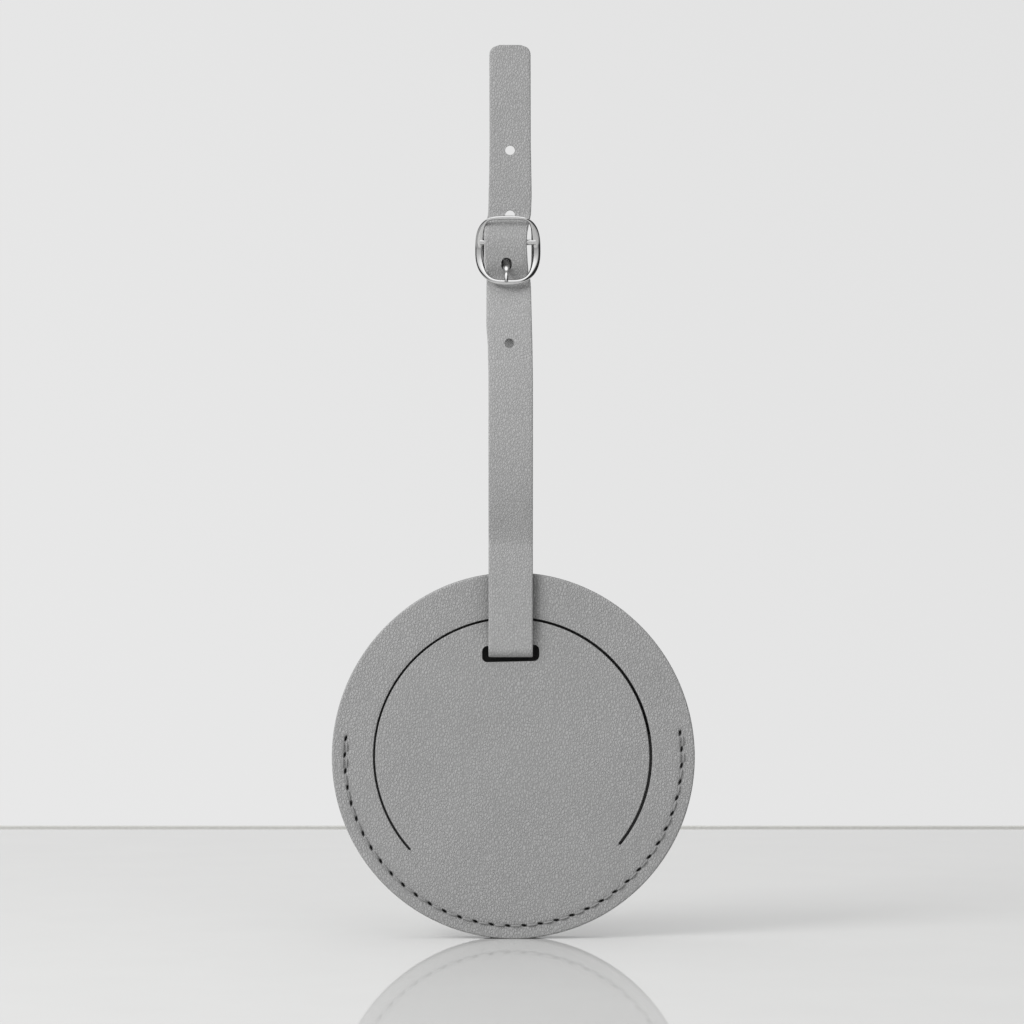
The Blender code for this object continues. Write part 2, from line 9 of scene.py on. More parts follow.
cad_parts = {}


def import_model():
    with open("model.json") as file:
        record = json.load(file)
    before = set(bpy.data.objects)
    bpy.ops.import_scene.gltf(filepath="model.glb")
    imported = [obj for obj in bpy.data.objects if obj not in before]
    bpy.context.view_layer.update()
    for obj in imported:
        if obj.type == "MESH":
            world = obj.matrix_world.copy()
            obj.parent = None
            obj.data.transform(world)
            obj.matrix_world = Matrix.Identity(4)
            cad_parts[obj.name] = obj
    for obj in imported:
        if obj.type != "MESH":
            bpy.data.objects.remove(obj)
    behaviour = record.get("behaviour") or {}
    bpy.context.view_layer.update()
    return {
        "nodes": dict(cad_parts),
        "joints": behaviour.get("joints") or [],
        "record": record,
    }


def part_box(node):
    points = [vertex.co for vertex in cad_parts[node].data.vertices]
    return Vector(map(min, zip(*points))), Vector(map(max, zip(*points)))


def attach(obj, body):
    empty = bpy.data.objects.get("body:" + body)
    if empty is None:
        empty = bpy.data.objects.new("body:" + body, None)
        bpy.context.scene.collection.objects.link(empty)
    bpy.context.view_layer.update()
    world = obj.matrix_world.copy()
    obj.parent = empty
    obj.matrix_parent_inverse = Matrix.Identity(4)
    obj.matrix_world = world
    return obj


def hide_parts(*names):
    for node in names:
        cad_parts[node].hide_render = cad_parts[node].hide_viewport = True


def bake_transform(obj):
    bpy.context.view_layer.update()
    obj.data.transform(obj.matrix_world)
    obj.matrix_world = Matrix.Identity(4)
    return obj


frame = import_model()

MM = 0.001
joints = {joint["name"]: joint for joint in frame["joints"]}

# Holder. The rim rises a little at its top, where the strap draws it up
panel_low, panel_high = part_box("front_panel")
back_low, back_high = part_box("back_panel")
DISC_R = (panel_high.x - panel_low.x) / 2
DISC_Z = (panel_high.z + panel_low.z) / 2
RIM_RISE = 0.016
FRONT_Y, FRONT_IN_Y = panel_low.y, panel_high.y
BACK_IN_Y, BACK_Y = back_low.y, back_high.y
EDGE_BEND, RIM_BEND, LEAST_BEND = 0.12 * MM, 0.40 * MM, 0.002 * MM
RING_STEPS, FLAP_STEPS, BACK_STEPS = 1440, 360, 720

# Cut round the flap, which stops short of its foot
CUT_X, CUT_Z, CUT_R, KERF = -0.2 * MM, 41.2 * MM, 31.25 * MM, 0.58 * MM
CUT_FROM, CUT_TO, CUT_FADE = math.radians(-39.5), math.radians(222.5), math.radians(0.25)
CUT_WIDTH, CUT_SWELL, SWELL_TURN = 0.98, 0.16, math.radians(25)

# Slots: width, low edge, high edge and corner radius
FRONT_SLOT = (12.9 * MM, 62.6 * MM, 66.3 * MM, 1.2 * MM)
BACK_SLOT = (10.04 * MM, 63.57 * MM, 66.3 * MM, 0.2 * MM)
FRONT_SLOT_LEAN = 0.025

# Seam. The half widths, half length and depths of its pricks and its groove are in millimetres
THREAD_R = 0.25 * MM
thread_low, thread_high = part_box("seam_thread_front")
SEAM_R = (thread_high.x - thread_low.x) / 2 - THREAD_R
SEAM_FROM, SEAM_TO = math.radians(173.6), math.radians(368.3)
STITCHES = 35
PITCH = (SEAM_TO - SEAM_FROM) / STITCHES
STITCH_LENGTH = 0.76
DOUBLED, DOUBLED_SIDE = 2, 0.42 * MM
PRICK_SLANT = math.radians(11)
PRICK_WIDTH, PRICK_LENGTH, PRICK_DEPTH, PRICK_POWER = 0.25, 0.62, 0.85, 1.8
GROOVE_WIDTH, GROOVE_DEPTH = 0.7, 0.07
SEAM_RINGS = [33.0, 34.4, 35.6, 36.4, 36.8, 37.1, *[37.3 + 0.16 * i for i in range(11)],
              39.1, 39.4, 39.8, 40.2]
PRICKS_END_R = 39.6 * MM

# Strap: its sides are rows of height, left edge and right edge
run_low, run_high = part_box("strap_slot_run")
STRAP_X = (run_low.x + run_high.x) / 2
STRAP_W = run_high.x - run_low.x
STRAP_T, STRAP_EDGE, STRAP_STEP = 1.2 * MM, 0.28 * MM, 0.45 * MM
TIP_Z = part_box("strap_front_leg")[1].z
TIP_BEND, TAB_BEND = 2.2 * MM, 0.6 * MM
STRAP_SIDES = np.array((
    (0.0626, -0.00560, 0.00440), (0.1260, -0.00558, 0.00440), (0.1340, -0.00575, 0.00430),
    (0.1385, -0.00610, 0.00418), (0.1470, -0.00610, 0.00400), (0.1490, -0.00605, 0.00385),
    (0.1505, -0.00605, 0.00345), (0.1530, -0.00645, 0.00325), (0.1575, -0.00655, 0.00300),
    (0.1600, -0.00650, 0.00320), (0.1620, -0.00615, 0.00360), (0.1640, -0.00570, 0.00400),
    (0.1680, -0.00560, 0.00415), (0.1720, -0.00550, 0.00410), (0.1800, -0.00540, 0.00395),
    (0.2022, -0.00545, 0.00390),
))
SWING_Z = joints["strap_swing"]["pos_m"][2]
RUN_Y, RUN_Z, RUN_STEP, BEND_R = 3.8 * MM, 64.2 * MM, 0.0008, 1.2 * MM
FOLD_R, TAB_Z, TAB_STEP = 1.4 * MM, (135.6 * MM, 0.1512), 1.34 * MM
TAB_SEAM_X, TAB_SEAM_Z, TAB_STITCHES = 3.4 * MM, (137.6 * MM, 150.4 * MM), 5

# Holes in the strap, and how far from front to back each is cut, so that the leg behind stays whole
HOLE_R, ENGAGED_R = 1.1 * MM, 1.2 * MM
HOLES = ((-0.9 * MM, 134.4 * MM), (-0.75 * MM, 163.7 * MM), (-0.75 * MM, 178.4 * MM))
ENGAGED_X, ENGAGED_Z = -1.55 * MM, (151.0 * MM, 153.9 * MM)
NOTCH_Z, NOTCH_WIDTH, NOTCH_HEIGHT, NOTCH_CORNER = 157.0 * MM, 2.7 * MM, 8.4 * MM, 0.4 * MM
HOLE_SPAN, ENGAGED_SPAN, NOTCH_SPAN = (-12 * MM, 1.6 * MM), (-12 * MM, 0.1 * MM), (0.35 * MM, 6 * MM)

# Buckle: half width, half height and squareness of its outlines, for its upper and lower halves
BAR_Y, BAR_Z = joints["buckle_rock"]["pos_m"][1:]
buckle_low, buckle_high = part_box("buckle_frame")
BUCKLE_X = (buckle_low.x + buckle_high.x) / 2
FRAME_Z = 155.5 * MM
FRAME_INSIDE = ((5.35 * MM, 6.90 * MM, 6.0), (5.35 * MM, 6.60 * MM, 3.4))
FRAME_OUTSIDE = ((7.42 * MM, 7.85 * MM, 3.1), (7.42 * MM, 7.90 * MM, 2.35))
FRAME_DOME, DOME_HEIGHT, DOME_POWER, DOME_SOFT = 4.0 * MM, 7.35 * MM, 1.6, 1.4 * MM
FRAME_DEPTH = 1.1 * MM
BAR_R, BAR_HALF = 0.7 * MM, 6.3 * MM
PRONG_X, PRONG_R = -1.6 * MM, 0.5 * MM
EYE_R, EYE_FROM, EYE_TO = 1.35 * MM, math.radians(-70), math.radians(200)


# Meshes

def make_piece(name, points, faces):
    """A mesh with its doubles merged and its faces out."""
    mesh = bpy.data.meshes.new(name)
    mesh.from_pydata([tuple(p) for p in points], [], faces)
    shape = bmesh.new()
    shape.from_mesh(mesh)
    bmesh.ops.remove_doubles(shape, verts=shape.verts, dist=0.000004)
    bmesh.ops.dissolve_degenerate(shape, edges=shape.edges, dist=0.000002)
    bmesh.ops.recalc_face_normals(shape, faces=shape.faces)
    shape.to_mesh(mesh)
    shape.free()
    piece = bpy.data.objects.new(name, mesh)
    bpy.context.scene.collection.objects.link(piece)
    return piece


def keep_rest(piece):
    """Stores where each point is at rest, which places the grain on the leather."""
    count = len(piece.data.vertices)
    places = np.empty(count * 3, np.float32)
    piece.data.vertices.foreach_get("co", places)
    rest = piece.data.attributes.new("rest", "FLOAT_VECTOR", "POINT")
    rest.data.foreach_set("vector", places)


def darken(piece, level):
    """Stores how open to the light each point is, from 0 in the bottom of a hole to 1 on the face. The
    leather material darkens its colour by it as painted shade.
    """
    openness = piece.data.attributes.new("open", "FLOAT", "POINT")
    openness.data.foreach_set("value", [level(v.co) for v in piece.data.vertices])


def dress(piece, materials, angle=35):
    """Gives a piece its materials, and smooth shading up to an angle between its faces."""
    piece.data.materials.clear()
    for material in materials:
        piece.data.materials.append(material)
    piece.data.shade_smooth()
    piece.data.set_sharp_from_angle(angle=math.radians(angle))


def finish_piece(piece, body, materials, stands_for, angle=35):
    """Dresses a piece, attaches it to one body, and hides the CAD nodes it stands for."""
    dress(piece, materials, angle)
    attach(piece, body)
    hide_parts(*stands_for)


def loft(rows, close_rows=True, close_around=True):
    """Points, and quads between neighbouring rows of as many points each. A row is closed into a ring and the
    last row is joined to the first, unless told otherwise."""
    width = len(rows[0])
    points = [p for row in rows for p in row]
    faces = []
    for i in range(len(rows) if close_around else len(rows) - 1):
        a, b = i * width, ((i + 1) % len(rows)) * width
        for j in range(width if close_rows else width - 1):
            k = (j + 1) % width
            faces.append((a + j, a + k, b + k, b + j))
    return points, faces


def evaluated(piece):
    """The piece with its modifiers turned into plain mesh."""
    depsgraph = bpy.context.evaluated_depsgraph_get()
    mesh = bpy.data.meshes.new_from_object(piece.evaluated_get(depsgraph))
    piece.modifiers.clear()
    old = piece.data
    piece.data = mesh
    bpy.data.meshes.remove(old)
    return piece


def cut(piece, cutter, operation="DIFFERENCE"):
    """Takes the cutter out of the piece, or joins the two, and removes the cutter."""
    change = piece.modifiers.new("cut", "BOOLEAN")
    change.operation = operation
    change.solver = "EXACT"
    change.object = cutter
    evaluated(piece)
    bpy.data.objects.remove(cutter, do_unlink=True)
    return piece


def prism(name, outline, y_from, y_to):
    """A closed bar along Y of an outline in x and z."""
    count = len(outline)
    points = [(x, y, z) for y in (y_from, y_to) for x, z in outline]
    faces = [tuple(range(count)), tuple(range(2 * count - 1, count - 1, -1))]
    for i in range(count):
        j = (i + 1) % count
        faces.append((i, i + count, j + count, j))
    return make_piece(name, points, faces)


def circle(x, z, radius):
    steps = 32
    turns = [2 * math.pi * i / steps for i in range(steps)]
    return [(x + radius * math.cos(t), z + radius * math.sin(t)) for t in turns]


def rounded_box(x, z, width, height, radius):
    steps = 6
    outline = []
    for i, (sx, sz) in enumerate(((1, 1), (-1, 1), (-1, -1), (1, -1))):
        for j in range(steps + 1):
            turn = (i + j / steps) * math.pi / 2
            outline.append((x + sx * (width / 2 - radius) + radius * math.cos(turn),
                            z + sz * (height / 2 - radius) + radius * math.sin(turn)))
    return outline


# Leather sheets

def smooth_step(low, high, value):
    t = min(1, max(0, (value - low) / (high - low)))
    return t * t * (3 - 2 * t)


def seam_dip(radius, turn):
    """How far in the leather is: a shallow groove along the seam, and a slanted prick between stitches."""
    turn = turn % (2 * math.pi)
    if turn < math.pi / 2:
        turn += 2 * math.pi
    place = (turn - SEAM_FROM) / PITCH
    inside = smooth_step(-0.5, -0.1, place) * (1 - smooth_step(STITCHES + 0.1, STITCHES + 0.5, place))
    side = (radius - SEAM_R) / MM
    along = (place - round(place)) * PITCH * SEAM_R / MM
    across = side * math.cos(PRICK_SLANT) - along * math.sin(PRICK_SLANT)
    length = along * math.cos(PRICK_SLANT) + side * math.sin(PRICK_SLANT)
    prick = math.exp(-(((across / PRICK_WIDTH) ** 2 + (length / PRICK_LENGTH) ** 2) ** PRICK_POWER))
    return inside * (GROOVE_DEPTH * math.exp(-(side / GROOVE_WIDTH) ** 2) + PRICK_DEPTH * prick) * MM


def in_cut(turn):
    """How open the cut is: widest low on the right, and 0 past its ends, where the leather is whole."""
    turn = (turn - CUT_FROM) % (2 * math.pi)
    span = CUT_TO - CUT_FROM
    wide = CUT_WIDTH + CUT_SWELL * math.cos(turn + CUT_FROM + SWELL_TURN)
    return wide * smooth_step(0, CUT_FADE, turn) * (1 - smooth_step(span - CUT_FADE, span, turn))


def round_over(radius, y, inward, out, bend, steps=3):
    """Points round an edge, in (radius, y), from the wall to the face."""
    made = []
    for i in range(steps + 1):
        turn = math.pi / 2 * i / steps
        made.append((radius + inward * bend * (1 - math.cos(turn)), y + out * bend * (1 - math.sin(turn))))
    return made


def rim(turn):
    """The rim's radius, which grows towards the top."""
    return DISC_R * (1 + RIM_RISE * max(0.0, math.sin(turn)) ** 2)


def cut_reach(turn):
    """How far the cut's circle is from the disc's centre in one direction, and its own angle there."""
    off_x, off_z = CUT_X, CUT_Z - DISC_Z
    along = off_x * math.cos(turn) + off_z * math.sin(turn)
    reach_out = along + math.sqrt(CUT_R**2 - off_x**2 - off_z**2 + along**2)
    return reach_out, math.atan2(reach_out * math.sin(turn) - off_z, reach_out * math.cos(turn) - off_x)


def ring_section(turn):
    """The front leather outside the cut, as a closed section."""
    inner, own_turn = cut_reach(turn)
    cutting = in_cut(own_turn)
    inner += cutting * KERF / 2
    bend = EDGE_BEND * cutting + LEAST_BEND
    section = [(inner, FRONT_IN_Y), *round_over(inner, FRONT_Y, 1, 1, bend)]
    section += [(r * MM, FRONT_Y + seam_dip(r * MM, turn)) for r in SEAM_RINGS]
    edge = rim(turn)
    section += round_over(edge, FRONT_Y, -1, 1, RIM_BEND, 5)[::-1]
    section += [(edge, FRONT_IN_Y - EDGE_BEND), (edge - EDGE_BEND, FRONT_IN_Y)]
    return section


def polar(section, turn, x=0.0, z=DISC_Z):
    """A section's points, turned about an axis along Y."""
    return [(x + r * math.cos(turn), y, z + r * math.sin(turn)) for r, y in section]


def front_ring():
    turns = [2 * math.pi * i / RING_STEPS for i in range(RING_STEPS)]
    return make_piece("front_leather", *loft([polar(ring_section(turn), turn) for turn in turns]))


def slot_cutter(y_from, y_to, width, low, high, corner, lean=0.0):
    """A bar that cuts the strap's slot, higher to the right by the lean."""
    level = rounded_box(STRAP_X, (low + high) / 2, width, high - low, corner)
    outline = [(x, z + (x - STRAP_X) * lean) for x, z in level]
    return prism("slot_cutter", outline, y_from, y_to)


def disc_section(turn, radius, face_y, inner_y, rings, bend, dip):
    """A disc's section from its middle, along its face, round its edge and back along its inner side."""
    out = 1 if face_y < inner_y else -1
    section = [(r, face_y + out * (seam_dip(r, turn) if dip else 0)) for r in rings]
    section += round_over(radius, face_y, -1, out, bend, 5)[::-1]
    section += [(radius, inner_y - out * EDGE_BEND), (radius - EDGE_BEND, inner_y)]
    section += [(r, inner_y) for r in rings[::-1]]
    return section


def leather_disc(name, radius_at, face_y, inner_y, rings, bend_at, steps, dip=False, x=0.0, z=DISC_Z):
    """A disc whose radius and edge may change round it. Its rings are parts of its radius."""
    rows = []
    for i in range(steps):
        turn = 2 * math.pi * i / steps
        radius = radius_at(turn)
        section = disc_section(turn, radius, face_y, inner_y, [r * radius for r in rings], bend_at(turn), dip)
        rows.append(polar(section, turn, x, z))
    points, faces = loft(rows, close_rows=False)
    return make_piece(name, points, faces)


def flap_leather():
    rings = [i / 46 for i in range(46)] + [0.988]
    flap = leather_disc("flap_leather", lambda turn: CUT_R - in_cut(turn) * KERF / 2,
                        FRONT_Y, FRONT_IN_Y, rings, lambda turn: EDGE_BEND * in_cut(turn) + LEAST_BEND,
                        FLAP_STEPS, x=CUT_X, z=CUT_Z)
    return cut(flap, slot_cutter(FRONT_Y - MM, FRONT_IN_Y + MM, *FRONT_SLOT, lean=FRONT_SLOT_LEAN))


def back_leather():
    rings = [0.0, 0.2, 0.4, 0.6, 0.75] + [r * MM / DISC_R for r in SEAM_RINGS]
    back = leather_disc("back_leather", rim, BACK_Y, BACK_IN_Y, rings, lambda turn: RIM_BEND, BACK_STEPS,
                        dip=True)
    return cut(back, slot_cutter(BACK_IN_Y - MM, BACK_Y + MM, *BACK_SLOT))


# Strap

def smooth(points, steps=6):
    """A centripetal Catmull-Rom curve through the points."""
    ends = [[2 * a - b for a, b in zip(points[i], points[j])] for i, j in ((0, 1), (-1, -2))]
    route = [Vector(p) for p in (ends[0], *points, ends[1])]
    made = []
    for p0, p1, p2, p3 in zip(route, route[1:], route[2:], route[3:]):
        t1 = math.sqrt((p1 - p0).length)
        t2 = t1 + math.sqrt((p2 - p1).length)
        t3 = t2 + math.sqrt((p3 - p2).length)
        for i in range(steps):
            t = t1 + (t2 - t1) * i / steps
            a1 = p0 * ((t1 - t) / t1) + p1 * (t / t1)
            a2 = p1 * ((t2 - t) / (t2 - t1)) + p2 * ((t - t1) / (t2 - t1))
            a3 = p2 * ((t3 - t) / (t3 - t2)) + p3 * ((t - t2) / (t3 - t2))
            b1 = a1 * ((t2 - t) / t2) + a2 * (t / t2)
            b2 = a2 * ((t3 - t) / (t3 - t1)) + a3 * ((t - t1) / (t3 - t1))
            made.append(tuple(b1 * ((t2 - t) / (t2 - t1)) + b2 * ((t - t1) / (t2 - t1))))
    return [*made, tuple(points[-1])]


def arc(centre, radius, start, end, steps):
    turns = [start + (end - start) * i / steps for i in range(steps + 1)]
    return [(centre[0] + radius * math.cos(t), centre[1] + radius * math.sin(t)) for t in turns]


def shifted(route, offset):
    """The route moved sideways, to its left for a positive offset."""
    made = []
    for i, point in enumerate(route):
        before, after = route[max(i - 1, 0)], route[min(i + 1, len(route) - 1)]
        along = (Vector(after) - Vector(before)).normalized()
        made.append((point[0] - along[1] * offset, point[1] + along[0] * offset))
    return made


def front_route():
    """Up in a bow, behind the buckle's lower bar, over its centre bar and behind its top bar, to the tip."""
    bow = [(-RUN_Y, SWING_Z), (-RUN_Y, 0.0898), (-0.0066, 0.1010), (-0.0075, 0.1130), (-0.0063, 0.1260),
           (-0.0036, 0.1380), (-0.0010, 0.1455)]
    over_buckle = [(0.0001, 0.1483), (0.0001, 0.1501), (-0.0012, 0.1530), (-0.00195, BAR_Z),
                   (-0.0015, 0.1600), (-0.0004, 0.1620), (0.0002, 0.1636), (0.0003, 0.1650)]
    return smooth([*bow, *over_buckle, (0.0003, 0.1700), (0.0003, 0.1860), (0.0003, TIP_Z)], 8)


def back_route():
    """Up from the holder in a bow to the centre bar."""
    return smooth([(RUN_Y, SWING_Z), (RUN_Y, 0.0898), (0.0066, 0.1010), (0.0075, 0.1130), (0.0064, 0.1260),
                   (0.0046, 0.1380), (0.0033, 0.1460), (0.00275, 0.1510), (0.0024, 0.1555)], 8)


def strap_route():
    """One strip: from the tab's end over the centre bar, down the back, through the slots, up to the tip."""
    tab = shifted([p for p in back_route() if TAB_Z[0] < p[1] < TAB_Z[1]], TAB_STEP)
    fold = arc((BAR_Y, BAR_Z), FOLD_R, math.pi, 0, 14)
    turn_back = smooth([tab[-1], (0.0006, 0.1539), (-0.00035, 0.1564), fold[0]], 5)[1:-1]
    leg = back_route()[::-1]
    down = [(RUN_Y, SWING_Z - RUN_STEP * i) for i in range(1, 27)]
    under_back = arc((RUN_Y - BEND_R, RUN_Z + BEND_R), BEND_R, 0, -math.pi / 2, 7)
    under_front = arc((-RUN_Y + BEND_R, RUN_Z + BEND_R), BEND_R, -math.pi / 2, -math.pi, 7)
    up = [(-y, z) for y, z in down[::-1]]
    return [*tab, *turn_back, *fold, *leg, *down, *under_back, *under_front, *up, *front_route()]


def even(route, step):
    """Points at even distances along the route, and how far along it each is."""
    points = np.array(route)
    keep = np.r_[True, np.linalg.norm(np.diff(points, axis=0), axis=1) > 1e-6]
    points = points[keep]
    run = np.r_[0, np.cumsum(np.linalg.norm(np.diff(points, axis=0), axis=1))]
    count = int(run[-1] / step)
    at = np.linspace(0, run[-1], count + 1)
    return np.c_[np.interp(at, run, points[:, 0]), np.interp(at, run, points[:, 1])], at


def strap_section(half):
    """Points round the strap's section, which is half as wide as given each way and has rounded edges."""
    steps, columns = 4, 10
    flat, high = half - STRAP_EDGE, STRAP_T / 2 - STRAP_EDGE
    turns = [math.pi / 2 * i / steps for i in range(steps + 1)]
    corner = [(flat + STRAP_EDGE * math.cos(t), high + STRAP_EDGE * math.sin(t)) for t in turns]
    face = [(flat - 2 * flat * i / columns, STRAP_T / 2) for i in range(1, columns)]
    left = [(-x, y) for x, y in corner[::-1]]
    top = [*corner, *face, *left]
    return [*top, *[(-x, -y) for x, y in top]]


def strap_strip():
    """The whole strap before its holes are cut, with a rounded tip and a rounded tab."""
    route, at = even(strap_route(), STRAP_STEP)
    rows = []
    for i, (y, z) in enumerate(route):
        before, after = route[max(i - 1, 0)], route[min(i + 1, len(route) - 1)]
        along = (after - before) / np.linalg.norm(after - before)
        normal = np.array([-along[1], along[0]])
        left, right = (np.interp(z, STRAP_SIDES[:, 0], STRAP_SIDES[:, k]) for k in (1, 2))
        half, middle = (right - left) / 2, (right + left) / 2
        for distance, bend in ((at[-1] - at[i], TIP_BEND), (at[i], TAB_BEND)):
            if distance < bend:
                half -= bend - math.sqrt(bend**2 - (bend - distance) ** 2)
        section = strap_section(half)
        rows.append([(middle + x, y + normal[0] * off, z + normal[1] * off) for x, off in section])
    points, faces = loft(rows, close_around=False)
    width = len(rows[0])
    faces.append(tuple(range(width)))
    faces.append(tuple(len(points) - 1 - i for i in range(width)))
    return make_piece("strap", points, faces)


def strap_leather():
    strap = strap_strip()
    for x, z in HOLES:
        cut(strap, prism("hole", circle(x, z, HOLE_R), *HOLE_SPAN))
    middle, tall = (ENGAGED_Z[0] + ENGAGED_Z[1]) / 2, ENGAGED_Z[1] - ENGAGED_Z[0]
    slot = rounded_box(ENGAGED_X, middle, 2 * ENGAGED_R, tall, 0.999 * ENGAGED_R)
    cut(strap, prism("hole", slot, *ENGAGED_SPAN))
    notch = rounded_box(PRONG_X, NOTCH_Z, NOTCH_WIDTH, NOTCH_HEIGHT, NOTCH_CORNER)
    return cut(strap, prism("hole", notch, *NOTCH_SPAN))


# Stitches

def node_group(name, inputs):
    """An empty geometry node group, and the identifiers of its inputs by name."""
    group = bpy.data.node_groups.new(name, "GeometryNodeTree")
    group.interface.new_socket("Geometry", in_out="INPUT", socket_type="NodeSocketGeometry")
    sockets = {}
    for title, kind, value in inputs:
        socket = group.interface.new_socket(title, in_out="INPUT", socket_type=kind)
        if value is not None:
            socket.default_value = value
        sockets[title] = socket.identifier
    group.interface.new_socket("Geometry", in_out="OUTPUT", socket_type="NodeSocketGeometry")
    return group, sockets


def stitch_row_group():
    """Copies of one stitch, end to end along an arc in the x-z plane."""
    group, sockets = node_group("stitch_row", (
        ("Stitch", "NodeSocketObject", None), ("Radius", "NodeSocketFloat", SEAM_R),
        ("Stitches", "NodeSocketInt", STITCHES), ("Start", "NodeSocketFloat", 0.0),
        ("Sweep", "NodeSocketFloat", 1.0), ("Material", "NodeSocketMaterial", None)))
    nodes, links = group.nodes, group.links
    given = nodes.new("NodeGroupInput")
    result = nodes.new("NodeGroupOutput")
    path = nodes.new("GeometryNodeCurveArc")
    links.new(given.outputs["Stitches"], path.inputs["Resolution"])
    links.new(given.outputs["Radius"], path.inputs["Radius"])
    links.new(given.outputs["Start"], path.inputs["Start Angle"])
    links.new(given.outputs["Sweep"], path.inputs["Sweep Angle"])
    upright = nodes.new("GeometryNodeTransform")
    upright.inputs["Rotation"].default_value = (math.pi / 2, 0, 0)
    links.new(path.outputs["Curve"], upright.inputs["Geometry"])
    along = nodes.new("GeometryNodeCurveToPoints")
    along.mode = "EVALUATED"
    links.new(upright.outputs["Geometry"], along.inputs["Curve"])
    turn = nodes.new("FunctionNodeAlignRotationToVector")
    turn.axis, turn.pivot_axis = "X", "Y"
    links.new(along.outputs["Tangent"], turn.inputs["Vector"])
    stitch = nodes.new("GeometryNodeObjectInfo")
    links.new(given.outputs["Stitch"], stitch.inputs["Object"])
    copies = nodes.new("GeometryNodeInstanceOnPoints")
    links.new(along.outputs["Points"], copies.inputs["Points"])
    links.new(stitch.outputs["Geometry"], copies.inputs["Instance"])
    links.new(turn.outputs["Rotation"], copies.inputs["Rotation"])
    real = nodes.new("GeometryNodeRealizeInstances")
    links.new(copies.outputs["Instances"], real.inputs["Geometry"])
    coloured = nodes.new("GeometryNodeSetMaterial")
    links.new(real.outputs["Geometry"], coloured.inputs["Geometry"])
    links.new(given.outputs["Material"], coloured.inputs["Material"])
    links.new(coloured.outputs["Geometry"], result.inputs["Geometry"])
    return group, sockets


def round_tube(name, path, radii, sides=10, wide=1.0, across=Vector((0, 0, 1))):
    """A tube of changing radius along a path, with flat ends, wider across by a factor or by a list."""
    rows = []
    for i, point in enumerate(path):
        along = (Vector(path[min(i + 1, len(path) - 1)]) - Vector(path[max(i - 1, 0)])).normalized()
        side = (across - along * across.dot(along)).normalized()
        other = along.cross(side)
        factor = wide if isinstance(wide, float) else wide[i]
        turns = [2 * math.pi * j / sides for j in range(sides)]
        rows.append([Vector(point) + (side * math.cos(t) * factor + other * math.sin(t)) * radii[i]
                     for t in turns])
    points, faces = loft(rows, close_around=False)
    faces += [tuple(range(sides)), tuple(len(points) - 1 - i for i in range(sides))]
    return make_piece(name, points, faces)


def stitch_pattern(length, out):
    """One stitch: its ends go down into the leather and its middle lies on it. Its profile is the place along
    the stitch, in stitch lengths, and the height in millimetres."""
    half = ((0.50, -0.85), (0.45, -0.70), (0.40, -0.48), (0.36, -0.22), (0.31, -0.04), (0.22, 0.06),
            (0.11, 0.10))
    profile = [(-x, high) for x, high in half] + [(0, 0.11)] + [*half][::-1]
    path = [(length * x, out * high * MM, 0) for x, high in profile]
    radii = [(0.15 + 0.06 * (1 - (2 * x) ** 4)) * MM for x, high in profile]
    return round_tube("stitch", path, radii, 12)


def stitch_row(group, sockets, pattern, y, radius, first, count):
    """A run of the seam's stitches, numbered from its left end."""
    host = make_piece("row", [(0, 0, 0), (1, 0, 0), (0, 0, 1)], [(0, 1, 2)])
    change = host.modifiers.new("stitches", "NODES")
    change.node_group = group
    start = SEAM_FROM + PITCH * (first + 0.5)
    values = {"Stitch": pattern, "Radius": radius, "Stitches": count, "Start": start,
              "Sweep": PITCH * (count - 1), "Material": MATERIALS["thread"]}
    for title, value in values.items():
        change[sockets[title]] = value
    evaluated(host)
    host.data.transform(Matrix.Translation((0, y, DISC_Z)))
    return host


def join(name, pieces):
    """One object of several, all at the origin."""
    shape = bmesh.new()
    for piece in pieces:
        shape.from_mesh(piece.data)
        bpy.data.objects.remove(piece, do_unlink=True)
    mesh = bpy.data.meshes.new(name)
    shape.to_mesh(mesh)
    shape.free()
    made = bpy.data.objects.new(name, mesh)
    bpy.context.scene.collection.objects.link(made)
    return made


def seam_stitches(name, group, sockets, y, out):
    """The seam, with the stitches at both its ends sewn twice."""
    pattern = stitch_pattern(PITCH * SEAM_R * STITCH_LENGTH, out)
    rows = [stitch_row(group, sockets, pattern, y, SEAM_R, DOUBLED, STITCHES - 2 * DOUBLED)]
    for first in (0, STITCHES - DOUBLED):
        for side in (-DOUBLED_SIDE, DOUBLED_SIDE):
            rows.append(stitch_row(group, sockets, pattern, y, SEAM_R + side, first, DOUBLED))
    bpy.data.objects.remove(pattern, do_unlink=True)
    return join(name, rows)


def tab_stitch(name, x):
    """A row of stitches along the curve of the strap's folded end. Each dips into the leather at its ends."""
    leg = [p for p in back_route() if TAB_SEAM_Z[0] < p[1] < TAB_SEAM_Z[1]]
    row, at = even(shifted(leg, -STRAP_T / 2 + 0.02 * MM), 0.1 * MM)
    stitches = []
    for i in range(TAB_STITCHES):
        first, last = i / TAB_STITCHES, (i + 1) / TAB_STITCHES
        inside = [k for k in range(len(row)) if first <= at[k] / at[-1] <= last][::3]
        path, radii = [], []
        for n, k in enumerate(inside):
            from_middle = abs(2 * (n / (len(inside) - 1)) - 1)
            high = 0.24 * MM * (1 - from_middle**4) - 0.35 * MM * from_middle**8
            path.append((x, row[k][0] + high, row[k][1]))
            radii.append(0.26 * MM - 0.06 * MM * from_middle**4)
        stitches.append(round_tube("stitch", path, radii, 12, across=Vector((1, 0, 0))))
    return join(name, stitches)


# Buckle

